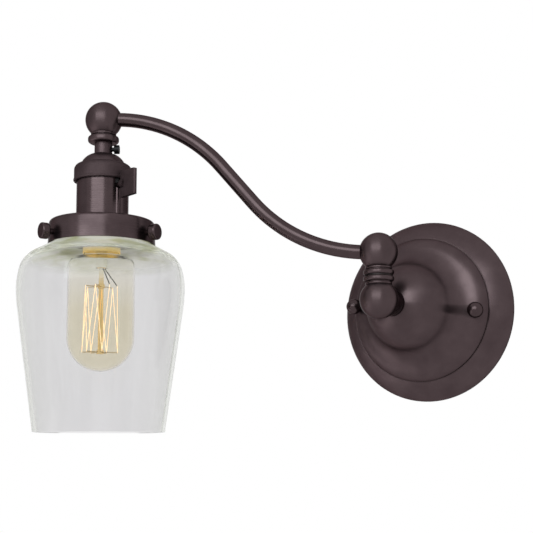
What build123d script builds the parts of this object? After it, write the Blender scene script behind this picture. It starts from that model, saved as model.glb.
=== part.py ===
from build123d import *
import math
import os

# Swing arm wall lamp, in millimetres and degrees.
# The origin is the middle of the canopy's back, on the wall.
# X runs right along the wall, Y into the wall and Z up, so the lamp stands out along minus Y.

# Fits
THREAD_FIT = 0.1
RUN_FIT = 0.05
BRAZE_FIT = 0.05
LOOSE_FIT = 0.4

# Canopy: one spun sheet with a flange, a ledge, a rounded ring and a dome
CANOPY_D = 127.0
CANOPY_SHEET = 1.2
CANOPY_RIM_H = 1.6
FLANGE_H = 12.9
FLANGE_BULGE = 1.2
LEDGE_W = 0.9
RING_D = 78.6
RING_SUNK = 2.8
RING_SECTION_R = 11.5
RING_TURN = 70.0
VALLEY_R = 18.0
DOME_R = 30.0
DOME_CENTRE_H = 30.0
DOME_FLAT_D = 18.0

# Straps, studs and nuts that hold the canopy to the outlet box
STRAP_SHEET = 1.6
BOX_STRAP_L = 104.0
BOX_STRAP_W = 19.0
BOX_SLOT_SPACING = 79.4
BOX_SLOT_L = 14.0
BOX_SLOT_W = 4.4
CANOPY_STRAP_W = 16.0
EYELET_D = 12.0
EYELET_HOLE_D = 8.0
EYELET_FLANGE_D = 16.0
EYELET_FLANGE_H = 1.2
GROUND_SCREW_D = 3.8
GROUND_HEAD_D = 7.6
GROUND_HEAD_H = 2.2
GROUND_SCREW_DROP = 21.0
STUD_D = 4.0
STUD_HEAD_D = 7.0
STUD_HEAD_H = 1.4
STUD_TURN = -5.0
BALL_NUT_D = 10.8
NUT_LEAN = 21.5
NUT_WALL = 1.5

# Threaded pipe through the canopy and through the lamp head
NIPPLE_D = 10.0
NIPPLE_BORE_D = 6.4
NIPPLE_CLEAR = 7.5
LOCKWASHER_D = 16.0
LOCKWASHER_H = 0.8
LOCKWASHER_TEETH = 8
LOCKNUT_FLATS = 15.0
LOCKNUT_H = 4.0

# Turned balls, each with a bead, a groove and a ring
BALL_D = 25.4
NECK_D = 16.0
BEAD_D = 17.5
BEAD_H = 1.6
GROOVE_H = 0.6
SWIVEL_RING_D = 20.2
SWIVEL_RING_H = 3.2
HEAD_RING_D = 21.4
HEAD_RING_H = 5.0
RING_EDGE_SHARE = 0.4
HEAD_FACE = 16.4
CAVITY_D = 14.6
CAVITY_H = 13.5

# Swivel between the wall ball and the arm ball
SWIVEL_OUT = 79.0
BALL_SPACING = 31.5
POST_D = 14.0
POST_BASE_D = 17.6
POST_BASE_H = 2.0
WASHER_H = 1.0
WASHER_D = 18.4
STEM_D = 9.6
STEM_BORE_D = 6.0
STEM_FOOT = 4.5
STEM_TOP_GAP = 2.0
SPRING_WASHER_D = 13.4
SPRING_WASHER_H = 0.8
SWIVEL_NUT_D = 13.0
SWIVEL_NUT_H = 3.4
STOP_PIN_D = 2.0
STOP_PIN_OUT = 6.9
STOP_PIN_SUNK = 3.2
STOP_PIN_PROUD = 1.3
STOP_TRACK_W = 2.4
STOP_TRACK_H = 1.8
STOP_TRACK_SLACK = 1.5
SWING_BACK = 20.0
SWING_FORWARD = 160.0

# S-shaped arm
ARM_REST = 20.0
ARM_REACH = 190.0
ARM_RISE = 99.0
ARM_STRAIGHT = 34.0
BEND_START = 4.5
TUBE_D = 9.5
TUBE_WALL = 1.0
WIRE_D = 2.4
WIRE_SPACING = 2.7
WIRE_BEND = 4.0

# Socket cap
CAP_SHEET = 1.0
COLLAR_H = 7.7
CAP_DOME_H = 7.4
CAP_DOME_FOOT_D = 30.4
CAP_DOME_BULGE = 1.6
CAP_SHOULDER_H = 4.4
CAP_BAND_H = 7.9
CAP_D = 39.6
CAP_ROLL_H = 1.8
CAP_ROLL_PROUD = 0.4
SET_SCREW_DROP = 4.4
SET_SCREW_D = 3.0
SET_SCREW_HEAD_D = 6.2
SET_SCREW_HEAD_H = 3.4
SET_SCREW_NECK = 1.6
SET_SCREW_SLOT = 1.0
SET_SCREW_TURN = 10.0

# Socket shell and what is in it
SHELL_D = 35.8
SHELL_SHEET = 0.8
SHELL_SHOW = 27.8
SHELL_IN_CAP = 5.0
SHELL_NOSE = 12.5
SHELL_SHOULDER_D = 38.0
SHELL_SHOULDER_H = 1.2
SHELL_RIB_D = 4.6
SHELL_RIB_PROUD = 0.9
LINER_SHEET = 0.6
LINER_GAP = 0.15
BODY_H = 21.0
BODY_GAP = 0.2
BODY_IN_CAP = 3.0
TERMINAL_L = 7.0
TERMINAL_W = 5.0
TERMINAL_H = 2.4
SCREW_SHELL_WALL = 0.4
SCREW_SHELL_H = 22.7
SCREW_SHELL_HOLE_D = 12.0
CONTACT_D = 6.4
CONTACT_H = 3.0

# Switch key
KEY_TURN = -34.0
KEY_DROP = 4.8
KEY_SHAFT_D = 3.8
KEY_SHAFT_IN = 6.0
KEY_SLOT_W = 5.2
KEY_HUB_D = 6.0
KEY_GAP = 1.2
KEY_L = 15.4
KEY_INNER_H = 18.8
KEY_OUTER_H = 17.6
KEY_T = 2.6
KEY_HUB_L = 3.4
KEY_EDGE = 0.8

# Shade holder, its ring and its three thumbscrews
HOLDER_D = 73.2
HOLDER_TOP_D = 72.0
HOLDER_H = 16.2
HOLDER_SHEET = 1.2
HOLDER_CORNER_R = 2.6
HOLDER_HOLE_FIT = 0.2
SHADE_RING_D = 45.0
SHADE_RING_H = 4.0
SHADE_RING_NOTCHES = 6
SHADE_RING_NOTCH_W = 4.0
SHADE_RING_NOTCH_DEEP = 1.6
THUMB_UP = 5.6
THUMB_TURN = -15.0
THUMB_D = 4.0
THUMB_HEAD_D = 11.0
THUMB_HEAD_H = 5.6
THUMB_HEAD_OFF = 3.0
THUMB_HEAD_EDGE = 1.2
THUMB_COUNT = 3

# Glass shade
GLASS_D = 114.2
GLASS_T = 3.0
GLASS_NECK_D = 65.2
GLASS_LIP_D = 68.6
GLASS_LIP_H = 3.0
GLASS_GAP = 0.4
GLASS_SLOPE = 28.0
GLASS_SHOULDER_R = 17.0
GLASS_BELLY_TURN = 15.0
GLASS_BELLY_R = 54.0
GLASS_LOWER_R = 89.0
GLASS_TAPER = 7.9
GLASS_BELOW = 97.0

# Bulb
BULB_D = 45.8
BULB_L = 110.0
BULB_T = 0.9
BASE_D = 26.0
BASE_H = 27.0
BASE_SHEET = 0.5
BASE_FIT = 0.25
BASE_TIP_D = 9.2
BASE_TIP_H = 1.2
BASE_CONE_D = 19.0
BASE_CONE_H = 2.8
BASE_TAPER_H = 2.5
BULB_NECK_FIT = 0.3
BULB_NECK_IN = 8.0
BULB_NECK_TURN = 70.0
BULB_NECK_R = 3.5
BULB_SHOULDER_R = 7.0
STEM_FLARE_H = 3.0
STEM_TUBE_D = 8.0
STEM_PRESS_H = 12.0
STEM_ROD_D = 3.4
STEM_BUTTON_D = 5.0
STEM_BUTTON_H = 2.6
FILAMENT_UP = 13.3
LEAD_DROP = 12.7
FILAMENT_TOP_D = 22.0
FILAMENT_LOW_D = 25.0
FILAMENT_HOOKS = 7
FILAMENT_WIRE_D = 0.5
SUPPORT_WIRE_D = 0.6
SUPPORT_GAP = 0.1
FILAMENT_TURN = 12.0

# Heights that follow, from the wall out or from the lamp ball's middle
BASE = (Align.CENTER, Align.CENTER, Align.MIN)
RING_CENTRE_H = FLANGE_H - RING_SUNK
NUT_REACH = RING_SECTION_R + BALL_NUT_D / 2 + THREAD_FIT
NUT_H = RING_CENTRE_H + NUT_REACH * math.cos(math.radians(NUT_LEAN))
SEAT_H = DOME_CENTRE_H + math.sqrt(DOME_R**2 - (DOME_FLAT_D / 2) ** 2)
SWIVEL_FACE = (BALL_SPACING - WASHER_H) / 2
ARM_FACE_Z = BALL_SPACING - SWIVEL_FACE
CAVITY_FLOOR = CAVITY_H / 2
LAMP_Z = BALL_SPACING + ARM_RISE
DOME_TOP_Z = -HEAD_FACE - COLLAR_H
SHOULDER_Z = DOME_TOP_Z - CAP_DOME_H
BAND_Z = SHOULDER_Z - CAP_SHOULDER_H
CAP_BOTTOM_Z = BAND_Z - CAP_BAND_H
KEY_Z = CAP_BOTTOM_Z - KEY_DROP
HOLDER_TOP_Z = CAP_BOTTOM_Z - SHELL_SHOW
HOLDER_BOTTOM_Z = HOLDER_TOP_Z - HOLDER_H
NOSE_Z = HOLDER_TOP_Z - SHELL_NOSE
THUMB_Z = HOLDER_BOTTOM_Z + THUMB_UP
BODY_TOP_Z = CAP_BOTTOM_Z + BODY_IN_CAP
BODY_BOTTOM_Z = BODY_TOP_Z - BODY_H
TIP_Z = BODY_BOTTOM_Z - CONTACT_H
BASE_END_Z = TIP_Z - BASE_H
BULB_END_Z = TIP_Z - BULB_L

# Radii that follow
STUD_R = RING_D / 2 + NUT_REACH * math.sin(math.radians(NUT_LEAN))
COLLAR_R = NIPPLE_D / 2 + THREAD_FIT + CAP_SHEET
SHELL_INNER_R = SHELL_D / 2 - SHELL_SHEET
LINER_R = SHELL_INNER_R - LINER_GAP
BODY_R = LINER_R - LINER_SHEET - BODY_GAP
SCREW_SHELL_R = BASE_D / 2 + BASE_FIT
HOLDER_INNER_R = HOLDER_D / 2 - HOLDER_SHEET
NECK_R = GLASS_NECK_D / 2


def rod(diameter, low, high):
    """Round rod along Z."""
    return Pos(0, 0, low) * Cylinder(diameter / 2, high - low, align=BASE)


def tube(outer_d, inner_d, low, high):
    """Round tube along Z."""
    return rod(outer_d, low, high) - rod(inner_d, low, high)


def spin(section):
    """Solid turned round Z from a section drawn as radius and height."""
    return revolve(Plane.XZ * section, Axis.Z)


def sheet(edges, thickness):
    """Section of a sheet on the right of its outer profile."""
    return make_face(offset(Wire(edges), amount=thickness, side=Side.RIGHT))


def bulged_arc(start, end, bulge):
    """Arc that stands off the left of its chord by the bulge."""
    chord = Vector(end) - Vector(start)
    left = Vector(-chord.Y, chord.X).normalized()
    middle = (Vector(start) + Vector(end)) * 0.5 + left * bulge
    return ThreePointArc(start, middle, end)


def arc_about(centre, start, end):
    """Short arc round a centre."""
    out = (start - centre + end - centre).normalized()
    return ThreePointArc(start, centre + out * (start - centre).length, end)


def radial(turn, height):
    """Place whose Z axis points outwards from the lamp's axis."""
    return Pos(0, 0, height) * Rot(0, 0, turn) * Rot(0, 90, 0)


def group(solids):
    """Separate solids kept in one node."""
    return Compound(list(solids))


def wire_between(start, end, diameter):
    """Straight round wire between two points."""
    run = Vector(end) - Vector(start)
    return extrude(Plane(origin=start, z_dir=run) * Circle(diameter / 2), amount=run.length)


# Canopy and what holds it to the box, drawn with Z out of the wall and Y up


def canopy():
    ring = Vector(RING_D / 2, RING_CENTRE_H)
    dome = Vector(0, DOME_CENTRE_H)
    to_ring = RING_SECTION_R + VALLEY_R
    to_dome = DOME_R + VALLEY_R
    across = dome - ring
    along = (to_ring**2 - to_dome**2 + across.length**2) / (2 * across.length)
    front = Vector(across.Y, -across.X).normalized()
    valley = ring + across.normalized() * along + front * math.sqrt(to_ring**2 - along**2)
    flat_edge = Vector(DOME_FLAT_D / 2, SEAT_H)
    dome_foot = dome + (valley - dome).normalized() * DOME_R
    ring_inner = ring + (valley - ring).normalized() * RING_SECTION_R
    ring_outer = ring + Vector(0, RING_SECTION_R).rotate(Axis.Z, -RING_TURN)
    ledge = Vector(ring_outer.X, FLANGE_H)
    flange_top = ledge + Vector(LEDGE_W, 0)
    flange_edge = Vector(CANOPY_D / 2, CANOPY_RIM_H)
    profile = [
        Line((NIPPLE_D / 2 + LOOSE_FIT, SEAT_H), flat_edge),
        arc_about(dome, flat_edge, dome_foot),
        arc_about(valley, dome_foot, ring_inner),
        arc_about(ring, ring_inner, ring_outer),
        Line(ring_outer, ledge),
        Line(ledge, flange_top),
        bulged_arc(flange_top, flange_edge, FLANGE_BULGE),
        Line(flange_edge, (CANOPY_D / 2, 0)),
    ]
    shell = spin(sheet(profile, CANOPY_SHEET))
    for spot in stud_spots():
        shell -= spot * rod(STUD_D + 2 * LOOSE_FIT, 0, NUT_H)
    return shell


def stud_spots():
    """Places of the two studs, a little turned from level."""
    return [Rot(0, 0, STUD_TURN) * Pos(side * STUD_R, 0) for side in (-1, 1)]


def box_strap():
    strap = SlotOverall(BOX_STRAP_L, BOX_STRAP_W, rotation=90) - Circle(EYELET_D / 2)
    for side in (-1, 1):
        strap -= Pos(0, side * BOX_SLOT_SPACING / 2) * SlotOverall(BOX_SLOT_L, BOX_SLOT_W, rotation=90)
    strap -= Pos(0, -GROUND_SCREW_DROP) * Circle(GROUND_SCREW_D / 2 + THREAD_FIT)
    return extrude(strap, amount=STRAP_SHEET)


def canopy_strap():
    strap = SlotOverall(2 * STUD_R + CANOPY_STRAP_W, CANOPY_STRAP_W, rotation=STUD_TURN)
    strap -= Circle(EYELET_D / 2)
    for spot in stud_spots():
        strap -= spot * Circle(STUD_D / 2 + THREAD_FIT)
    return Pos(0, 0, STRAP_SHEET) * extrude(strap, amount=STRAP_SHEET)


def strap_eyelet():
    flange_z = 2 * STRAP_SHEET
    body = tube(EYELET_D, EYELET_HOLE_D, 0, flange_z)
    return body + tube(EYELET_FLANGE_D, EYELET_HOLE_D, flange_z, flange_z + EYELET_FLANGE_H)


def ground_screw():
    head_z = STRAP_SHEET + GROUND_HEAD_H
    head = rod(GROUND_HEAD_D, STRAP_SHEET, head_z)
    head = fillet(head.edges().sort_by(Axis.Z)[-1], GROUND_HEAD_H / 3)
    head -= Pos(0, 0, head_z) * Box(GROUND_HEAD_D, SET_SCREW_SLOT, GROUND_HEAD_H)
    return Pos(0, -GROUND_SCREW_DROP) * (head + rod(GROUND_SCREW_D, 0, STRAP_SHEET))


def canopy_studs():
    head_top = STRAP_SHEET - BRAZE_FIT
    stud = rod(STUD_HEAD_D, head_top - STUD_HEAD_H, head_top)
    stud += rod(STUD_D, head_top, NUT_H + BALL_NUT_D / 2 - NUT_WALL - LOOSE_FIT)
    return group(spot * stud for spot in stud_spots())


def canopy_ball_nuts():
    """Round nuts that seat on the edges of the holes in the sloping ring."""
    ball_r = BALL_NUT_D / 2
    nut = Sphere(ball_r) - rod(STUD_D + 2 * THREAD_FIT, -ball_r, ball_r - NUT_WALL)
    return group(spot * Pos(0, 0, NUT_H) * nut for spot in stud_spots())


def canopy_nipple():
    inside = SEAT_H - CANOPY_SHEET - LOCKWASHER_H - LOCKNUT_H - THREAD_FIT
    return tube(NIPPLE_D, NIPPLE_BORE_D, inside, SWIVEL_OUT - NIPPLE_CLEAR)


def canopy_lockwasher():
    washer = Circle(LOCKWASHER_D / 2) - Circle(NIPPLE_D / 2 + LOOSE_FIT)
    notch = LOCKWASHER_D / 8
    washer -= PolarLocations(LOCKWASHER_D / 2, LOCKWASHER_TEETH) * Rectangle(notch, notch)
    return Pos(0, 0, SEAT_H - CANOPY_SHEET - LOCKWASHER_H) * extrude(washer, amount=LOCKWASHER_H)


def canopy_locknut():
    hexagon = RegularPolygon(LOCKNUT_FLATS / 2, 6, major_radius=False)
    hexagon -= Circle(NIPPLE_D / 2 + THREAD_FIT)
    low = SEAT_H - CANOPY_SHEET - LOCKWASHER_H - LOCKNUT_H
    return Pos(0, 0, low) * extrude(hexagon, amount=LOCKNUT_H)


# Balls and swivel, drawn round the swivel axis with the wall ball's middle at height zero


def ball_with_ring(ring_d, ring_h, face):
    """Ball whose neck, bead and ring point down to a flat face."""
    ring_top = ring_h - face
    bead_z = ring_top + GROOVE_H + BEAD_H / 2
    section = Circle(BALL_D / 2)
    section += Pos(0, -face / 2) * Rectangle(NECK_D, face)
    section += Pos(0, bead_z) * RectangleRounded(BEAD_D, BEAD_H, BEAD_H * RING_EDGE_SHARE)
    section += Pos(0, ring_top - ring_h / 2) * RectangleRounded(ring_d, ring_h, ring_h * RING_EDGE_SHARE)
    section &= Pos(BALL_D, 0) * Rectangle(2 * BALL_D, 4 * BALL_D)
    return spin(section)


def wall_ball():
    to_seat = SWIVEL_OUT - SEAT_H
    ball = Rot(180, 0, 0) * ball_with_ring(SWIVEL_RING_D, SWIVEL_RING_H, SWIVEL_FACE)
    to_wall = Rot(-90, 0, 0)
    ball += to_wall * rod(POST_D, 0, to_seat)
    ball += to_wall * rod(POST_BASE_D, to_seat - POST_BASE_H, to_seat)
    ball -= to_wall * rod(NIPPLE_D + 2 * THREAD_FIT, NIPPLE_CLEAR - THREAD_FIT, to_seat)
    ball -= to_wall * rod(STEM_BORE_D, 0, to_seat)
    ball -= Sphere(STEM_BORE_D / 2)
    ball -= rod(STEM_BORE_D, 0, SWIVEL_FACE)
    ball -= rod(STEM_D + 2 * BRAZE_FIT, STEM_FOOT, SWIVEL_FACE)
    pin_hole = rod(STOP_PIN_D + 2 * BRAZE_FIT, SWIVEL_FACE - STOP_PIN_SUNK, SWIVEL_FACE)
    return ball - Pos(0, STOP_PIN_OUT) * pin_hole


def swivel_stem():
    return tube(STEM_D, STEM_BORE_D, STEM_FOOT, BALL_SPACING - STEM_TOP_GAP)


def swivel_washer():
    washer = tube(WASHER_D, STEM_D + 2 * RUN_FIT, SWIVEL_FACE, ARM_FACE_Z)
    return washer - Pos(0, STOP_PIN_OUT) * rod(STOP_PIN_D + 2 * RUN_FIT, SWIVEL_FACE, ARM_FACE_Z)


def swivel_stop_pin():
    return Pos(0, STOP_PIN_OUT) * rod(STOP_PIN_D, SWIVEL_FACE - STOP_PIN_SUNK, ARM_FACE_Z + STOP_PIN_PROUD)


def swivel_spring_washer():
    floor = BALL_SPACING - CAVITY_FLOOR
    return tube(SPRING_WASHER_D, STEM_D + 2 * RUN_FIT, floor, floor + SPRING_WASHER_H)


def swivel_nut():
    low = BALL_SPACING - CAVITY_FLOOR + SPRING_WASHER_H
    return tube(SWIVEL_NUT_D, STEM_D + 2 * BRAZE_FIT, low, low + SWIVEL_NUT_H)


def stop_track():
    """Arc groove that the stop pin runs in, open to the arm ball's face."""
    room = math.degrees(math.asin(STOP_PIN_D / 2 / STOP_PIN_OUT)) + STOP_TRACK_SLACK
    first = 90 - ARM_REST - SWING_FORWARD - room
    span = SWING_BACK + SWING_FORWARD + 2 * room
    section = Pos(STOP_PIN_OUT, ARM_FACE_Z + STOP_TRACK_H / 2) * Rectangle(STOP_TRACK_W, STOP_TRACK_H)
    return Rot(0, 0, first + span) * revolve(Plane.XZ * section, Axis.Z, revolution_arc=-span)


def arm_ball(hole):
    ball = Pos(0, 0, BALL_SPACING) * ball_with_ring(SWIVEL_RING_D, SWIVEL_RING_H, SWIVEL_FACE)
    ball -= rod(STEM_D + 2 * RUN_FIT, ARM_FACE_Z, BALL_SPACING)
    ball -= Pos(0, 0, BALL_SPACING) * Cylinder(CAVITY_D / 2, CAVITY_H)
    return ball - stop_track() - hole


# Arm, drawn along minus X from the swivel axis


def arm_edges():
    """Middle line of the arm: two bends and the straight run between them."""
    width = ARM_REACH - 2 * BEND_START
    bend_r = (width**2 + ARM_RISE**2 - ARM_STRAIGHT**2) / (4 * ARM_RISE)
    lift = ARM_RISE - 2 * bend_r
    turn = math.atan2(lift, width) + math.asin(2 * bend_r / math.hypot(width, lift))
    first = JernArc((-BEND_START, BALL_SPACING), (-1, 0), bend_r, -math.degrees(turn))
    run = Line(first @ 1, first @ 1 + (first % 1) * ARM_STRAIGHT)
    second = JernArc(run @ 1, run % 1, bend_r, math.degrees(turn))
    return [first, run, second]


def swept(edges, diameter):
    """Round bar along a line drawn in the arm's own upright plane."""
    path = Plane.XZ * Wire(edges)
    return sweep(Plane(origin=path @ 0, z_dir=path % 0) * Circle(diameter / 2), path=path)


def arm_bar(diameter):
    start = Line((0, BALL_SPACING), (-BEND_START, BALL_SPACING))
    end = Line((BEND_START - ARM_REACH, LAMP_Z), (-ARM_REACH, LAMP_Z))
    return swept([start, *arm_edges(), end], diameter)


def arm_tube():
    bar = arm_bar(TUBE_D) - arm_bar(TUBE_D - 2 * TUBE_WALL)
    for place in (Pos(0, 0, BALL_SPACING), Pos(-ARM_REACH, 0, LAMP_Z)):
        bar -= place * Cylinder(CAVITY_D / 2 + BRAZE_FIT, 2 * CAVITY_H)
    return bar


def arm_wires():
    low = (0, BALL_SPACING / 2)
    bend_low = (0, BALL_SPACING - WIRE_BEND)
    into_arm = JernArc(bend_low, (0, 1), WIRE_BEND, 90)
    out_of_arm = JernArc((WIRE_BEND - ARM_REACH, LAMP_Z), (-1, 0), WIRE_BEND, 90)
    terminal = (-ARM_REACH, LAMP_Z + BODY_TOP_Z + TERMINAL_H)
    edges = [Line(low, bend_low), into_arm, Line(into_arm @ 1, (-BEND_START, BALL_SPACING)), *arm_edges()]
    edges += [Line((BEND_START - ARM_REACH, LAMP_Z), out_of_arm @ 0), out_of_arm]
    edges += [Line(out_of_arm @ 1, terminal)]
    wire = swept(edges, WIRE_D)
    return group(Pos(0, side * WIRE_SPACING / 2) * wire for side in (-1, 1))


def wall_wires():
    """Wires from the swivel through the wall ball to the canopy's pipe."""
    pipe_end = SEAT_H - CANOPY_SHEET - LOCKWASHER_H - LOCKNUT_H
    top = BALL_SPACING / 2 - THREAD_FIT
    bend_r = STEM_BORE_D / 2
    bend = JernArc((0, bend_r), (0, -1), bend_r, 90)
    edges = [Line((0, top), bend @ 0), bend, Line(bend @ 1, (SWIVEL_OUT - pipe_end, 0))]
    wire = swept(edges, WIRE_D)
    return group(Rot(0, 0, 90) * Pos(0, side * WIRE_SPACING / 2) * wire for side in (-1, 1))


# Lamp head, drawn round its own axis with the lamp ball's middle at height zero


def head_ball(hole):
    ball = ball_with_ring(HEAD_RING_D, HEAD_RING_H, HEAD_FACE)
    ball -= Cylinder(CAVITY_D / 2, CAVITY_H)
    ball -= rod(NIPPLE_D + 2 * THREAD_FIT, -HEAD_FACE, 0)
    return ball - hole


def head_nipple():
    return tube(NIPPLE_D, NIPPLE_BORE_D, DOME_TOP_Z - CAP_SHEET, -CAVITY_FLOOR)


def socket_cap():
    top = (COLLAR_R, -HEAD_FACE)
    dome_top = (COLLAR_R, DOME_TOP_Z)
    foot = (CAP_DOME_FOOT_D / 2, SHOULDER_Z)
    band = (CAP_D / 2, BAND_Z)
    low = (CAP_D / 2, CAP_BOTTOM_Z)
    shoulder = TangentArc(band, foot, tangent=(0, 1))
    edges = [Line(top, dome_top), bulged_arc(dome_top, foot, CAP_DOME_BULGE)]
    edges += [Edge.make_three_point_arc(foot, shoulder @ 0.5, band), Line(band, low)]
    section = sheet(edges, CAP_SHEET)
    roll_r = CAP_D / 2 + CAP_ROLL_PROUD
    roll_inner_r = SHELL_D / 2 + BRAZE_FIT
    roll = RectangleRounded(roll_r - roll_inner_r, CAP_ROLL_H, CAP_ROLL_H * RING_EDGE_SHARE)
    section += Pos((roll_r + roll_inner_r) / 2, CAP_BOTTOM_Z + CAP_ROLL_H / 2) * roll
    screw_hole = radial(SET_SCREW_TURN, -HEAD_FACE - SET_SCREW_DROP) * rod(
        SET_SCREW_D + 2 * THREAD_FIT, 0, 2 * COLLAR_R
    )
    return spin(section) - screw_hole


def cap_set_screw():
    tip = NIPPLE_D / 2 + THREAD_FIT
    head = COLLAR_R + SET_SCREW_NECK
    end = head + SET_SCREW_HEAD_H
    screw = rod(SET_SCREW_D, tip, head) + rod(SET_SCREW_HEAD_D, head, end)
    screw -= Pos(0, 0, end) * Box(SET_SCREW_HEAD_D, SET_SCREW_SLOT, SET_SCREW_HEAD_H)
    return radial(SET_SCREW_TURN, -HEAD_FACE - SET_SCREW_DROP) * screw


def key_slot(length):
    """Upright slot, open at the top, that lets the switch shaft out."""
    cut = Pos(-length / 2, 0) * Rectangle(length, KEY_SLOT_W) + Circle(KEY_SLOT_W / 2)
    return radial(KEY_TURN, KEY_Z) * extrude(cut, amount=SHELL_D)


def socket_shell():
    top = CAP_BOTTOM_Z + SHELL_IN_CAP
    inner_d = 2 * SHELL_INNER_R
    shell = tube(SHELL_D, inner_d, NOSE_Z, top)
    shell += tube(SHELL_SHOULDER_D, inner_d, HOLDER_TOP_Z, HOLDER_TOP_Z + SHELL_SHOULDER_H)
    rib_out = SHELL_D / 2 + SHELL_RIB_PROUD - SHELL_RIB_D / 2
    rib = Pos(rib_out, 0) * rod(SHELL_RIB_D, HOLDER_TOP_Z, KEY_Z) - rod(inner_d, HOLDER_TOP_Z, KEY_Z)
    return shell + Rot(0, 0, KEY_TURN) * rib - key_slot(top - KEY_Z)


def socket_liner():
    liner = tube(2 * LINER_R, 2 * (LINER_R - LINER_SHEET), NOSE_Z, BODY_TOP_Z)
    return liner - key_slot(BODY_TOP_Z - KEY_Z)


def socket_body():
    body = rod(2 * BODY_R, BODY_BOTTOM_Z, BODY_TOP_Z)
    return body - radial(KEY_TURN, KEY_Z) * rod(KEY_SHAFT_D + 2 * RUN_FIT, KEY_SHAFT_IN - RUN_FIT, SHELL_D)


def socket_terminals():
    block = Box(TERMINAL_W, TERMINAL_L, TERMINAL_H, align=BASE)
    off = WIRE_SPACING / 2 - WIRE_D / 2 + TERMINAL_L / 2
    return group(Pos(0, side * off, BODY_TOP_Z) * block for side in (-1, 1))


def screw_shell():
    outer_d = 2 * (SCREW_SHELL_R + SCREW_SHELL_WALL)
    top = BODY_BOTTOM_Z - SCREW_SHELL_WALL
    shell = tube(outer_d, 2 * SCREW_SHELL_R, BODY_BOTTOM_Z - SCREW_SHELL_H, BODY_BOTTOM_Z)
    return shell + tube(outer_d, SCREW_SHELL_HOLE_D, top, BODY_BOTTOM_Z)


def centre_contact():
    return rod(CONTACT_D, TIP_Z, BODY_BOTTOM_Z)


def switch_shaft():
    end = CAP_D / 2 + CAP_ROLL_PROUD + KEY_GAP + KEY_HUB_L
    return radial(KEY_TURN, KEY_Z) * rod(KEY_SHAFT_D, KEY_SHAFT_IN, end)


def switch_paddle():
    """Flat key that narrows a little outwards, on a hub round the shaft."""
    inner = CAP_D / 2 + CAP_ROLL_PROUD + KEY_GAP
    outer = inner + KEY_L
    half_in = KEY_INNER_H / 2
    half_out = KEY_OUTER_H / 2
    outline = Polyline((-half_in, inner), (half_in, inner), (half_out, outer), (-half_out, outer), close=True)
    plate = extrude(Plane.XZ * make_face(outline), amount=KEY_T / 2, both=True)
    plate = chamfer(plate.faces().sort_by(Axis.Z)[-1].edges(), KEY_EDGE)
    plate += rod(KEY_HUB_D, inner, inner + KEY_HUB_L)
    plate -= rod(KEY_SHAFT_D, 0, inner + KEY_HUB_L)
    return radial(KEY_TURN, KEY_Z) * plate


def shade_holder():
    hole = (SHELL_D / 2 + HOLDER_HOLE_FIT, HOLDER_TOP_Z)
    corner = (HOLDER_TOP_D / 2, HOLDER_TOP_Z)
    low = (HOLDER_D / 2, HOLDER_BOTTOM_Z)
    holder = spin(sheet(FilletPolyline(hole, corner, low, radius=HOLDER_CORNER_R).edges(), HOLDER_SHEET))
    for turn in thumb_turns():
        holder -= radial(turn, THUMB_Z) * rod(THUMB_D + 2 * THREAD_FIT, NECK_R, HOLDER_D)
    return holder


def shade_ring():
    high = HOLDER_TOP_Z - HOLDER_SHEET
    ring = tube(SHADE_RING_D, SHELL_D + 2 * THREAD_FIT, high - SHADE_RING_H, high)
    notch = Box(2 * SHADE_RING_NOTCH_DEEP, SHADE_RING_NOTCH_W, 2 * SHADE_RING_H)
    for spot in PolarLocations(SHADE_RING_D / 2, SHADE_RING_NOTCHES):
        ring -= Pos(0, 0, high - SHADE_RING_H) * spot * notch
    return ring


def thumb_turns():
    return [THUMB_TURN + index * 360 / THUMB_COUNT for index in range(THUMB_COUNT)]


def thumbscrew(turn):
    head_in = HOLDER_D / 2 + THUMB_HEAD_OFF
    head = rod(THUMB_HEAD_D, head_in, head_in + THUMB_HEAD_H)
    head = fillet(head.edges().filter_by(GeomType.CIRCLE), THUMB_HEAD_EDGE)
    return radial(turn, THUMB_Z) * (head + rod(THUMB_D, NECK_R + RUN_FIT, head_in + THUMB_HEAD_H / 2))


def glass_shade():
    slope = math.radians(GLASS_SLOPE)
    belly = math.radians(90 - GLASS_BELLY_TURN)
    root_z = HOLDER_BOTTOM_Z - GLASS_GAP + (HOLDER_INNER_R - NECK_R) * math.tan(slope)
    curved = GLASS_SHOULDER_R * (math.sin(belly) - math.sin(slope)) + GLASS_BELLY_R * (1 - math.sin(belly))
    straight = (GLASS_D / 2 - NECK_R - curved) / math.cos(slope)
    lip_low = THUMB_Z + THUMB_D / 2 + RUN_FIT
    lip_top = lip_low + GLASS_LIP_H
    down = Vector(math.cos(slope), -math.sin(slope))
    root = Vector(NECK_R, root_z)
    shoulder = JernArc(root + down * straight, down, GLASS_SHOULDER_R, GLASS_SLOPE + GLASS_BELLY_TURN - 90)
    widest = JernArc(shoulder @ 1, shoulder % 1, GLASS_BELLY_R, -GLASS_BELLY_TURN)
    lower = JernArc(widest @ 1, widest % 1, GLASS_LOWER_R, -GLASS_TAPER)
    taper_h = GLASS_BELOW - ((widest @ 1).Y - (lower @ 1).Y)
    taper = Line(lower @ 1, lower @ 1 + (lower % 1) * (taper_h / math.cos(math.radians(GLASS_TAPER))))
    edges = [Line((NECK_R, lip_top), root), Line(root, shoulder @ 0), shoulder, widest, lower, taper]
    section = sheet(edges, GLASS_T)
    lip_inner = NECK_R - GLASS_T
    lip = RectangleRounded(GLASS_LIP_D / 2 - lip_inner, GLASS_LIP_H, GLASS_LIP_H * RING_EDGE_SHARE)
    section += Pos((GLASS_LIP_D / 2 + lip_inner) / 2, lip_low + GLASS_LIP_H / 2) * lip
    return spin(section)


# Bulb, on the lamp head's axis


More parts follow.
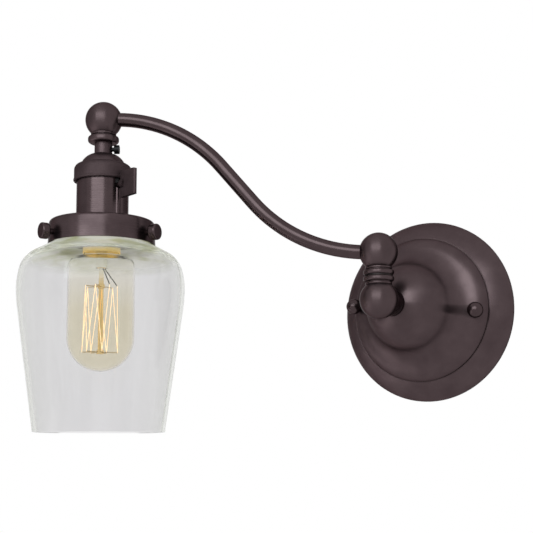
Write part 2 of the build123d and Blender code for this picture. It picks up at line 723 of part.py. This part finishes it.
def bulb_base():
    cone_z = TIP_Z - BASE_TIP_H - BASE_CONE_H
    edges = Polyline(
        (BASE_CONE_D / 2, cone_z), (BASE_D / 2, cone_z - BASE_TAPER_H), (BASE_D / 2, BASE_END_Z)
    ).edges()
    return spin(sheet(edges, BASE_SHEET))


def bulb_insulator():
    return Pos(0, 0, TIP_Z - BASE_TIP_H - BASE_CONE_H) * Cone(
        BASE_CONE_D / 2, BASE_TIP_D / 2, BASE_CONE_H, align=BASE
    )


def bulb_contact():
    return rod(BASE_TIP_D, TIP_Z - BASE_TIP_H, TIP_Z)


def bulb_neck_r():
    return BASE_D / 2 - BASE_SHEET - BULB_NECK_FIT


def bulb_glass():
    neck_r = bulb_neck_r()
    turn = math.radians(BULB_NECK_TURN)
    bends = (BULB_NECK_R + BULB_SHOULDER_R) * (1 - math.cos(turn))
    slope_l = (BULB_D / 2 - neck_r - bends) / math.sin(turn)
    neck_top = Vector(neck_r, BASE_END_Z + BULB_NECK_IN)
    neck_low = Vector(neck_r, BASE_END_Z)
    flare = JernArc(neck_low, (0, -1), BULB_NECK_R, BULB_NECK_TURN)
    slope = Line(flare @ 1, flare @ 1 + (flare % 1) * slope_l)
    shoulder = JernArc(slope @ 1, slope % 1, BULB_SHOULDER_R, -BULB_NECK_TURN)
    side_end = Vector(BULB_D / 2, BULB_END_Z + BULB_D / 2)
    cap = arc_about(Vector(0, side_end.Y), side_end, Vector(0, BULB_END_Z))
    edges = [Line(neck_top, neck_low), flare, slope, shoulder, Line(shoulder @ 1, side_end), cap]
    return spin(sheet(edges, BULB_T))


def filament_z():
    low = BULB_END_Z + FILAMENT_UP
    high = BASE_END_Z - STEM_PRESS_H - LEAD_DROP
    return low, high


def bulb_stem():
    """Glass mount: flare, tube, pressed end and rod with a button at each set of supports."""
    low, high = filament_z()
    flare_d = 2 * (bulb_neck_r() - BULB_T - BRAZE_FIT)
    flare_z = BASE_END_Z + BULB_NECK_IN - STEM_FLARE_H
    stem = Pos(0, 0, flare_z) * Cone(STEM_TUBE_D / 2, flare_d / 2, STEM_FLARE_H, align=BASE)
    press_z = BASE_END_Z - STEM_PRESS_H
    stem += rod(STEM_TUBE_D, press_z, flare_z)
    stem += rod(STEM_ROD_D, low - STEM_BUTTON_H / 2, press_z)
    for button_z in (low, high):
        stem += rod(STEM_BUTTON_D, button_z - STEM_BUTTON_H / 2, button_z + STEM_BUTTON_H / 2)
    return stem


def hook(index, diameter, z):
    """Point where the filament hangs on a support."""
    turn = math.radians(FILAMENT_TURN + index * 360 / FILAMENT_HOOKS)
    return Vector(diameter / 2 * math.cos(turn), diameter / 2 * math.sin(turn), z)


def filament_points():
    low, high = filament_z()
    points = []
    for index in range(FILAMENT_HOOKS):
        points.append(hook(index, FILAMENT_TOP_D, high))
        points.append(hook(index + 0.5, FILAMENT_LOW_D, low))
    return points[:-1]


def bulb_filament():
    points = filament_points()
    cage = Pos(points[0]) * Sphere(FILAMENT_WIRE_D / 2)
    for start, end in zip(points, points[1:]):
        cage += wire_between(start, end, FILAMENT_WIRE_D)
        cage += Pos(end) * Sphere(FILAMENT_WIRE_D / 2)
    return cage


def bulb_supports():
    short = FILAMENT_WIRE_D / 2 + SUPPORT_GAP
    wires = []
    for point in filament_points()[1:-1]:
        out = Vector(point.X, point.Y).normalized()
        start = out * (STEM_BUTTON_D / 2 + SUPPORT_GAP / 2) + Vector(0, 0, point.Z)
        wires.append(wire_between(start, point - out * short, SUPPORT_WIRE_D))
    return group(wires)


def bulb_leads():
    points = filament_points()
    start_z = BASE_END_Z - STEM_PRESS_H
    wires = []
    for point in (points[0], points[-1]):
        out = Vector(point.X, point.Y).normalized()
        start = out * (STEM_ROD_D / 2 + SUPPORT_WIRE_D) + Vector(0, 0, start_z - SUPPORT_WIRE_D)
        run = point - start
        end = point - run.normalized() * (FILAMENT_WIRE_D + SUPPORT_GAP)
        wires.append(wire_between(start, end, SUPPORT_WIRE_D))
    return group(wires)


# Places of the four frames that the pieces are drawn in
WALL = Rot(90, 0, 0)
POST = Pos(0, -SWIVEL_OUT, 0)
ARM = POST * Rot(0, 0, ARM_REST)
HEAD = ARM * Pos(-ARM_REACH, 0, LAMP_Z)

tube_hole = arm_bar(TUBE_D + 2 * BRAZE_FIT)
wall_pieces = {
    "wall_canopy": canopy(),
    "box_strap": box_strap(),
    "canopy_strap": canopy_strap(),
    "strap_eyelet": strap_eyelet(),
    "ground_screw": ground_screw(),
    "canopy_studs": canopy_studs(),
    "canopy_ball_nuts": canopy_ball_nuts(),
    "canopy_nipple": canopy_nipple(),
    "canopy_lockwasher": canopy_lockwasher(),
    "canopy_locknut": canopy_locknut(),
}
post_pieces = {
    "wall_ball": wall_ball(),
    "swivel_stem": swivel_stem(),
    "swivel_washer": swivel_washer(),
    "swivel_stop_pin": swivel_stop_pin(),
    "swivel_spring_washer": swivel_spring_washer(),
    "swivel_nut": swivel_nut(),
    "wall_wires": wall_wires(),
}
arm_pieces = {
    "arm_ball": arm_ball(tube_hole),
    "arm_tube": arm_tube(),
    "arm_wires": arm_wires(),
}
head_pieces = {
    "head_ball": head_ball(Pos(ARM_REACH, 0, -LAMP_Z) * tube_hole),
    "head_nipple": head_nipple(),
    "socket_cap": socket_cap(),
    "cap_set_screw": cap_set_screw(),
    "socket_shell": socket_shell(),
    "socket_liner": socket_liner(),
    "socket_body": socket_body(),
    "socket_terminals": socket_terminals(),
    "screw_shell": screw_shell(),
    "centre_contact": centre_contact(),
    "switch_shaft": switch_shaft(),
    "switch_paddle": switch_paddle(),
    "shade_holder": shade_holder(),
    "shade_ring": shade_ring(),
    "glass_shade": glass_shade(),
    "bulb_glass": bulb_glass(),
    "bulb_base": bulb_base(),
    "bulb_insulator": bulb_insulator(),
    "bulb_contact": bulb_contact(),
    "bulb_stem": bulb_stem(),
    "bulb_supports": bulb_supports(),
    "bulb_leads": bulb_leads(),
    "bulb_filament": bulb_filament(),
}
for number, turn in enumerate(thumb_turns(), start=1):
    head_pieces[f"thumbscrew_{number}"] = thumbscrew(turn)

os.makedirs("parts", exist_ok=True)
for place, pieces in ((WALL, wall_pieces), (POST, post_pieces), (ARM, arm_pieces), (HEAD, head_pieces)):
    for name, piece in pieces.items():
        export_step(place * piece, f"parts/{name}.step")
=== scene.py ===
import math

import bpy
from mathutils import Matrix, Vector

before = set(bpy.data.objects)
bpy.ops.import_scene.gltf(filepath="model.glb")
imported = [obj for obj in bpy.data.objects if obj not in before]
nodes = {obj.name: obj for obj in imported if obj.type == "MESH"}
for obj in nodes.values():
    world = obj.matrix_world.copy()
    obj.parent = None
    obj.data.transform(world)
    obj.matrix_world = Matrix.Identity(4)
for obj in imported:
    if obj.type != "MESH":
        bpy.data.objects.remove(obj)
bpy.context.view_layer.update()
scene = bpy.context.scene

# Photograph: image side and focal length in pixels, camera place in metres, turns in degrees
IMAGE = 533
FOCAL = 1162.8
CAMERA_AT = (0.32862, -0.75738, -0.09763)
CAMERA_TURN = 31.416
CAMERA_PITCH = 6.423
CAMERA_SHIFT = 0.1
CLIP_START = 0.05
SENSOR_WIDTH_MM = 36

# Stage in metres: the softbox and the cards stand round the lamp's middle, and the floor lies well below it
MIDDLE = Vector((-0.09, -0.10, 0.03))
FLOOR_HALF = 6.0
FLOOR_Z = -1.0

# Background: white where it is seen, and dimmer as a light on the lamp
WHITE_LEVEL = 1.0
FILL_LEVEL = 0.3

# Bronze: what tints its reflections at the edges
EDGE_TINT = (0.4, 0.38, 0.38, 1)

# Socket cap: share of its height where the rough band ends and where the smooth dome starts
BAND_END = 0.4
DOME_START = 0.5

# Shade: share of its height where the bloom and its painted glow start and where they are full, and how
# much they hide there
BLOOM_AND_GLOW_START = 0.81
BLOOM_AND_GLOW_FULL = 0.91
BLOOM_AND_GLOW_SHARE = 0.72

# Bloom: how much of it lets light through, and how much of it is painted glow standing for the filament's
# light in the neck
THROUGH_SHARE = 0.6
PAINTED_GLOW_SHARE = 0.23


class Nodes:
    """Short way to add and link a material's nodes."""

    def __init__(self, name):
        self.material = bpy.data.materials.new(name)
        self.material.use_nodes = True
        self.tree = self.material.node_tree
        self.shader = self.tree.nodes["Principled BSDF"]
        self.out = self.tree.nodes["Material Output"]

    def add(self, kind, **values):
        node = self.tree.nodes.new(kind)
        for key, value in values.items():
            setattr(node, key, value)
        return node

    def link(self, start, end):
        self.tree.links.new(start, end)

    def set(self, **values):
        """Constants on the shader's own sockets."""
        for key, value in values.items():
            self.shader.inputs[key.replace("_", " ")].default_value = value
        return self

    def place(self, stretch):
        """Object coordinates, stretched."""
        coords = self.add("ShaderNodeTexCoord")
        mapping = self.add("ShaderNodeMapping")
        mapping.inputs["Scale"].default_value = stretch
        self.link(coords.outputs["Object"], mapping.inputs["Vector"])
        return mapping.outputs["Vector"]

    def height(self):
        """Share of the piece's own height, from nought at its foot to one at its top."""
        coords = self.add("ShaderNodeTexCoord")
        split = self.add("ShaderNodeSeparateXYZ")
        self.link(coords.outputs["Generated"], split.inputs["Vector"])
        return split.outputs["Z"]

    def noise(self, scale, detail, stretch=(1, 1, 1)):
        node = self.add("ShaderNodeTexNoise")
        node.inputs["Scale"].default_value = scale
        node.inputs["Detail"].default_value = detail
        self.link(self.place(stretch), node.inputs["Vector"])
        return node.outputs["Fac"]

    def ramp(self, fac, low, high, start=0.3, end=0.7):
        """Colour that goes from low to high as fac goes from start to end."""
        node = self.add("ShaderNodeValToRGB")
        node.color_ramp.elements[0].position = start
        node.color_ramp.elements[0].color = (*low, 1)
        node.color_ramp.elements[1].position = end
        node.color_ramp.elements[1].color = (*high, 1)
        self.link(fac, node.inputs["Fac"])
        return node.outputs["Color"]

    def span(self, fac, low, high, start=0.25, end=0.75, shape="LINEAR"):
        """Number that goes from low to high as fac goes from start to end."""
        node = self.add("ShaderNodeMapRange", interpolation_type=shape)
        node.inputs["From Min"].default_value = start
        node.inputs["From Max"].default_value = end
        node.inputs["To Min"].default_value = low
        node.inputs["To Max"].default_value = high
        self.link(fac, node.inputs["Value"])
        return node.outputs["Result"]

    def colour(self, socket):
        self.link(socket, self.shader.inputs["Base Color"])

    def lit_colour(self, socket):
        self.link(socket, self.shader.inputs["Emission Color"])

    def roughness(self, socket):
        self.link(socket, self.shader.inputs["Roughness"])

    def uneven(self, fac, rough, below, above):
        """Roughness that wanders from a little below to a little above a value."""
        self.roughness(self.span(fac, rough - below, rough + above))

    def bump(self, fac, depth, strength):
        """Relief whose strength is a number or a socket."""
        node = self.add("ShaderNodeBump")
        node.inputs["Distance"].default_value = depth
        if isinstance(strength, float):
            node.inputs["Strength"].default_value = strength
        else:
            self.link(strength, node.inputs["Strength"])
        self.link(fac, node.inputs["Height"])
        self.link(node.outputs["Normal"], self.shader.inputs["Normal"])

    def mix(self, share, first, second):
        """Two shaders mixed by a number or by a socket."""
        node = self.add("ShaderNodeMixShader")
        if isinstance(share, float):
            node.inputs["Fac"].default_value = share
        else:
            self.link(share, node.inputs["Fac"])
        self.link(first, node.inputs[1])
        self.link(second, node.inputs[2])
        return node.outputs["Shader"]


def bare_bronze(name, dark, light):
    """Oil-rubbed bronze without its finish; its edges go dark."""
    m = Nodes(name).set(Metallic=0.9, Specular_IOR_Level=0.2, Specular_Tint=EDGE_TINT)
    m.colour(m.ramp(m.noise(scale=70, detail=5.0), dark, light))
    return m


def bronze(name, dark, light, rough, axis=None, lines=None, grain=None):
    """Bronze with a finish.

    axis is what it was turned round, lines stretches its brushing, and grain is the depth of a cast skin.
    """
    m = bare_bronze(name, dark, light)
    if lines:
        brush = m.noise(scale=60, detail=4.0, stretch=lines)
        m.uneven(brush, rough, below=0.06, above=0.07)
        m.bump(brush, depth=0.00003, strength=0.4)
    else:
        m.uneven(m.noise(scale=240, detail=4.0), rough, below=0.03, above=0.04)
    if grain:
        m.bump(m.noise(scale=900, detail=3.0), depth=grain, strength=0.6)
    if axis:
        tangent = m.add("ShaderNodeTangent", direction_type="RADIAL", axis=axis)
        m.link(tangent.outputs["Tangent"], m.shader.inputs["Tangent"])
        m.set(Anisotropic=0.75, Anisotropic_Rotation=0.25)
    return m.material


def cap_bronze():
    """Rough cast band and shoulder, with a smoother dome and collar above them."""
    m = bare_bronze("bronze_cap", dark=(0.052, 0.036, 0.0385), light=(0.08, 0.056, 0.06))
    height = m.height()
    m.roughness(m.span(height, low=0.64, high=0.4, start=BAND_END, end=DOME_START))
    skin = m.noise(scale=900, detail=3.0)
    m.bump(skin, depth=0.0003, strength=m.span(height, low=0.6, high=0.12, start=BAND_END, end=DOME_START))
    return m.material


def metal(name, dark, light, rough, lines=(1, 1, 1)):
    """Bare metal; lines stretches its marks."""
    m = Nodes(name).set(Metallic=1.0)
    m.colour(m.ramp(m.noise(scale=180, detail=4.0, stretch=lines), dark, light))
    m.uneven(m.noise(scale=420, detail=3.0, stretch=lines), rough, below=0.06, above=0.08)
    m.bump(m.noise(scale=1500, detail=2.0, stretch=lines), depth=0.00002, strength=0.4)
    return m.material


def moulded(name, dark, light, rough, grain=1200):
    """Plastic, card, ceramic or paint with a fine skin."""
    m = Nodes(name)
    m.colour(m.ramp(m.noise(scale=220, detail=4.0), dark, light))
    m.uneven(m.noise(scale=500, detail=3.0), rough, below=0.06, above=0.08)
    m.bump(m.noise(scale=grain, detail=3.0), depth=0.00004, strength=0.5)
    return m.material


def glass(name, shine, bend):
    """Clear glass with a trace of blown waviness."""
    m = Nodes(name).set(Transmission_Weight=1.0, IOR=bend, Roughness=0.0, Specular_IOR_Level=shine)
    m.bump(m.noise(scale=45, detail=1.0), depth=0.0002, strength=0.15)
    return m


def shade_glass():
    """Blown glass with upright streaks of painted reflection, greener in its thickness, and with a pale
    bloom round its neck that carries painted glow and painted refraction patches.
    """
    m = glass("shade_glass", shine=0.75, bend=1.27)
    # Upright streaks in the glass's tint are painted reflections
    painted_reflection_streaks = m.noise(scale=80, detail=4.0, stretch=(1, 1, 0.04))
    m.colour(m.ramp(painted_reflection_streaks, low=(0.845, 0.837, 0.861), high=(0.888, 0.88, 0.904)))
    inside = m.add("ShaderNodeVolumeAbsorption")
    inside.inputs["Color"].default_value = (0.62, 0.66, 0.5, 1)
    inside.inputs["Density"].default_value = 40
    m.link(inside.outputs["Volume"], m.out.inputs["Volume"])
    share = m.span(m.height(), 0.0, BLOOM_AND_GLOW_SHARE, BLOOM_AND_GLOW_START, BLOOM_AND_GLOW_FULL, "SMOOTHSTEP")
    # Olive and pale patches in the bloom's tint are painted refractions and highlights
    painted_refraction_patches = m.noise(scale=55, detail=2.5, stretch=(1, 1, 2.2))
    tint = m.ramp(painted_refraction_patches, low=(0.66, 0.67, 0.45), high=(1.0, 1.0, 0.95), start=0.36, end=0.56)
    front = m.add("ShaderNodeBsdfDiffuse")
    through = m.add("ShaderNodeBsdfTranslucent")
    # The emission is painted glow, standing for the filament's light in the neck
    painted_glow = m.add("ShaderNodeEmission")
    for shader in (front, through, painted_glow):
        m.link(tint, shader.inputs["Color"])
    bloom = m.mix(THROUGH_SHARE, front.outputs["BSDF"], through.outputs["BSDF"])
    # The bloom takes in the painted glow here
    bloom = m.mix(PAINTED_GLOW_SHARE, bloom, painted_glow.outputs["Emission"])
    m.link(m.mix(share, m.shader.outputs["BSDF"], bloom), m.out.inputs["Surface"])
    return m.material


def bulb_glass():
    """Amber-tinted glass, clearer towards the neck."""
    m = glass("bulb_glass", shine=0.3, bend=1.25)
    m.colour(m.ramp(m.height(), low=(0.95, 0.918, 0.81), high=(0.99, 0.985, 0.96), start=0.45, end=0.85))
    return m.material


def stem_glass():
    """Rod with the filament's amber light painted on its lower part, and clear above that."""
    m = glass("stem_glass", shine=0.3, bend=1.25)
    m.colour(m.ramp(m.height(), low=(0.91, 0.7, 0.34), high=(0.95, 0.94, 0.88), start=0.6, end=0.74))
    return m.material


def grey_card(name, level):
    """Evenly lit card whose brightness is a share of the white background's."""
    m = Nodes(name).set(Roughness=0.9, Emission_Strength=level)
    m.colour(m.ramp(m.noise(scale=40, detail=3.0), low=(0.02, 0.02, 0.02), high=(0.03, 0.03, 0.03)))
    m.lit_colour(m.ramp(m.noise(scale=6, detail=2.0), low=(0.92, 0.92, 0.92), high=(1.0, 1.0, 1.0)))
    return m.material


def painted_glow_brass():
    """Brass lamp base with a painted glow standing for the light of its own filament."""
    m = Nodes("brass_painted_glow").set(Metallic=0.6, Roughness=0.4, Emission_Strength=0.5)
    marks = m.noise(scale=220, detail=4.0, stretch=(1, 1, 6))
    colour = m.ramp(marks, low=(0.7, 0.45, 0.08), high=(0.86, 0.62, 0.18))
    m.colour(colour)
    m.lit_colour(colour)
    m.bump(m.noise(scale=60, detail=1.0, stretch=(0.2, 0.2, 7)), depth=0.0003, strength=0.5)
    return m.material


def glowing(name):
    """Filament that shines by itself."""
    m = Nodes(name).set(Roughness=0.5, Emission_Strength=1.15)
    colour = m.ramp(m.noise(scale=500, detail=2.0), low=(1.0, 0.68, 0.4), high=(1.0, 0.84, 0.6))
    m.colour(colour)
    m.lit_colour(colour)
    return m.material


# Materials: darkest and lightest colour, then roughness
BRONZE = bronze("bronze", (0.056, 0.039, 0.0415), (0.07, 0.0495, 0.0525), 0.235)
BRONZE_TURNED = bronze("bronze_turned", (0.066, 0.046, 0.049), (0.083, 0.0585, 0.062), 0.34, axis="Z")
BRONZE_DRAWN = bronze("bronze_drawn", (0.062, 0.043, 0.046), (0.08, 0.0565, 0.06), 0.25,
                      axis="Z", lines=(0.5, 0.5, 45))
BRONZE_SPUN = bronze("bronze_spun", (0.065, 0.045, 0.0483), (0.084, 0.0593, 0.063), 0.31, axis="Y")
BRONZE_BRUSHED = bronze("bronze_brushed", (0.058, 0.04, 0.043), (0.092, 0.065, 0.069), 0.29,
                        axis="Z", lines=(0.4, 0.4, 60))
BRONZE_CAST = bronze("bronze_cast", (0.05, 0.0345, 0.037), (0.08, 0.056, 0.06), 0.62, grain=0.0003)
BRONZE_CAP = cap_bronze()
BRONZE_DARK = bronze("bronze_dark", (0.02, 0.016, 0.016), (0.03, 0.024, 0.024), 0.4)
BLACK_STEEL = bronze("black_steel", (0.012, 0.012, 0.013), (0.02, 0.02, 0.021), 0.4)
ZINC = metal("zinc_steel", (0.45, 0.45, 0.43), (0.66, 0.65, 0.6), 0.38)
GREEN = moulded("green_screw", (0.02, 0.2, 0.06), (0.04, 0.3, 0.1), 0.35)
BRASS_PAINTED_GLOW = painted_glow_brass()
BRASS = metal("rolled_brass", (0.62, 0.42, 0.16), (0.78, 0.57, 0.26), 0.28, lines=(1, 1, 30))
SOLDER = metal("solder", (0.5, 0.5, 0.5), (0.68, 0.68, 0.67), 0.4)
PLASTIC = moulded("socket_plastic", (0.012, 0.012, 0.013), (0.03, 0.03, 0.032), 0.4)
CARD = moulded("liner_card", (0.16, 0.13, 0.1), (0.24, 0.2, 0.16), 0.85, grain=700)
CERAMIC = moulded("bulb_ceramic", (0.012, 0.012, 0.02), (0.03, 0.03, 0.045), 0.2)
SHEATH = moulded("wire_sheath", (0.015, 0.015, 0.015), (0.035, 0.035, 0.036), 0.5)
CLEAR = shade_glass()
BULB = bulb_glass()
STEM = stem_glass()
SUPPORT = metal("support_wire", (0.62, 0.5, 0.32), (0.78, 0.66, 0.45), 0.4)
LEAD = metal("lead_wire", (0.02, 0.022, 0.008), (0.04, 0.04, 0.016), 0.5)
FILAMENT = glowing("filament")

PAINT = {
    BRONZE: "canopy_ball_nuts arm_tube switch_shaft thumbscrew_1 thumbscrew_2 thumbscrew_3",
    BRONZE_TURNED: "wall_ball arm_ball head_ball",
    BRONZE_DRAWN: "socket_shell",
    BRONZE_SPUN: "wall_canopy",
    BRONZE_CAST: "switch_paddle",
    BRONZE_CAP: "socket_cap",
    BRONZE_BRUSHED: "shade_holder",
    BRONZE_DARK: "swivel_washer canopy_studs",
    BLACK_STEEL: "cap_set_screw",
    ZINC: """box_strap canopy_strap strap_eyelet canopy_lockwasher canopy_locknut canopy_nipple
        head_nipple swivel_stem swivel_stop_pin swivel_spring_washer swivel_nut""",
    GREEN: "ground_screw",
    BRASS: "socket_terminals screw_shell centre_contact",
    BRASS_PAINTED_GLOW: "bulb_base",
    SOLDER: "bulb_contact",
    PLASTIC: "socket_body shade_ring",
    CARD: "socket_liner",
    CERAMIC: "bulb_insulator",
    SHEATH: "wall_wires arm_wires",
    CLEAR: "glass_shade",
    BULB: "bulb_glass",
    STEM: "bulb_stem",
    SUPPORT: "bulb_supports",
    LEAD: "bulb_leads",
    FILAMENT: "bulb_filament",
}
for material, names in PAINT.items():
    for name in names.split():
        mesh = nodes[name].data
        mesh.materials.clear()
        mesh.materials.append(material)

# Camera
turn = math.radians(CAMERA_TURN)
pitch = math.radians(CAMERA_PITCH)
look = Vector((-math.sin(turn) * math.cos(pitch), math.cos(turn) * math.cos(pitch), math.sin(pitch)))
lens = bpy.data.cameras.new("camera")
lens.sensor_width = SENSOR_WIDTH_MM
lens.lens = FOCAL / IMAGE * lens.sensor_width
lens.shift_y = CAMERA_SHIFT
lens.clip_start = CLIP_START
camera = bpy.data.objects.new("camera", lens)
camera.location = CAMERA_AT
camera.rotation_mode = "QUATERNION"
camera.rotation_quaternion = look.to_track_quat("-Z", "Y")
scene.collection.objects.link(camera)
scene.camera = camera


def stand(thing, compass, height, away):
    """Puts a light or a card round the lamp's middle, facing it; compass is in degrees from plus X."""
    angle = math.radians(compass)
    thing.location = MIDDLE + Vector((math.cos(angle) * away, math.sin(angle) * away, height))
    thing.rotation_mode = "QUATERNION"
    thing.rotation_quaternion = (MIDDLE - thing.location).to_track_quat("-Z", "Y")
    thing.visible_transmission = False
    scene.collection.objects.link(thing)


def softbox(name, compass, height, away, wide, tall, radiance, tint):
    """Rectangular light that isn't seen through the lamp's glass."""
    light = bpy.data.lights.new(name, "AREA")
    light.shape = "RECTANGLE"
    light.size = wide
    light.size_y = tall
    light.energy = radiance * math.pi * wide * tall
    light.color = tint
    stand(bpy.data.objects.new(name, light), compass, height, away)


def rectangle(name, half_wide, half_tall, z):
    """Object with one flat four-cornered face."""
    corners = [
        (-half_wide, -half_tall, z),
        (half_wide, -half_tall, z),
        (half_wide, half_tall, z),
        (-half_wide, half_tall, z),
    ]
    mesh = bpy.data.meshes.new(name)
    mesh.from_pydata(corners, [], [(0, 1, 2, 3)])
    return bpy.data.objects.new(name, mesh)


def flag(name, compass, height, away, wide, tall, level):
    """Card seen only in the metal's and the glass's reflections."""
    card = rectangle(name, wide / 2, tall / 2, 0)
    stand(card, compass, height, away)
    card.visible_camera = False
    card.visible_diffuse = False
    card.visible_shadow = False
    card.data.materials.append(grey_card(name, level))


softbox("main_softbox", compass=-77, height=0.55, away=1.3, wide=1.4, tall=0.85,
        radiance=3.25, tint=(0.88, 1.0, 0.99))
flag("right_flag", compass=-5, height=0.1, away=1.0, wide=1.2, tall=1.8, level=0.95)
flag("back_flag", compass=75, height=0.1, away=1.2, wide=1.0, tall=1.8, level=0.45)
flag("left_flag", compass=-165, height=0.1, away=1.0, wide=1.6, tall=1.8, level=0.7)
flag("low_card", compass=-150, height=-0.45, away=0.75, wide=1.0, tall=0.5, level=1.6)

# Plain pale floor
floor = rectangle("floor", FLOOR_HALF, FLOOR_HALF, FLOOR_Z)
scene.collection.objects.link(floor)


def background_share(tree):
    """One for a ray from the camera, a mirror or through glass, and nought for other light."""
    path = tree.nodes.new("ShaderNodeLightPath")
    total = path.outputs["Is Camera Ray"]
    for name in ("Is Glossy Ray", "Is Transmission Ray"):
        largest = tree.nodes.new("ShaderNodeMath")
        largest.operation = "MAXIMUM"
        tree.links.new(total, largest.inputs[0])
        tree.links.new(path.outputs[name], largest.inputs[1])
        total = largest.outputs[0]
    return total


paper = Nodes("floor_paper").set(Roughness=0.9)
paper.colour(paper.ramp(paper.noise(scale=8, detail=4.0), low=(0.86, 0.86, 0.86), high=(0.9, 0.9, 0.9)))
white = paper.add("ShaderNodeEmission")
white.inputs["Strength"].default_value = WHITE_LEVEL
seen = paper.mix(background_share(paper.tree), paper.shader.outputs["BSDF"], white.outputs["Emission"])
paper.link(seen, paper.out.inputs["Surface"])
floor.data.materials.append(paper.material)

# World
world = bpy.data.worlds.new("studio")
world.use_nodes = True
scene.world = world
tree = world.node_tree
background = tree.nodes["Background"]
background.inputs["Color"].default_value = (1, 1, 1, 1)
strength = tree.nodes.new("ShaderNodeMapRange")
strength.inputs["To Min"].default_value = FILL_LEVEL
strength.inputs["To Max"].default_value = WHITE_LEVEL
tree.links.new(background_share(tree), strength.inputs["Value"])
tree.links.new(strength.outputs["Result"], background.inputs["Strength"])

scene.view_settings.view_transform = "Standard"
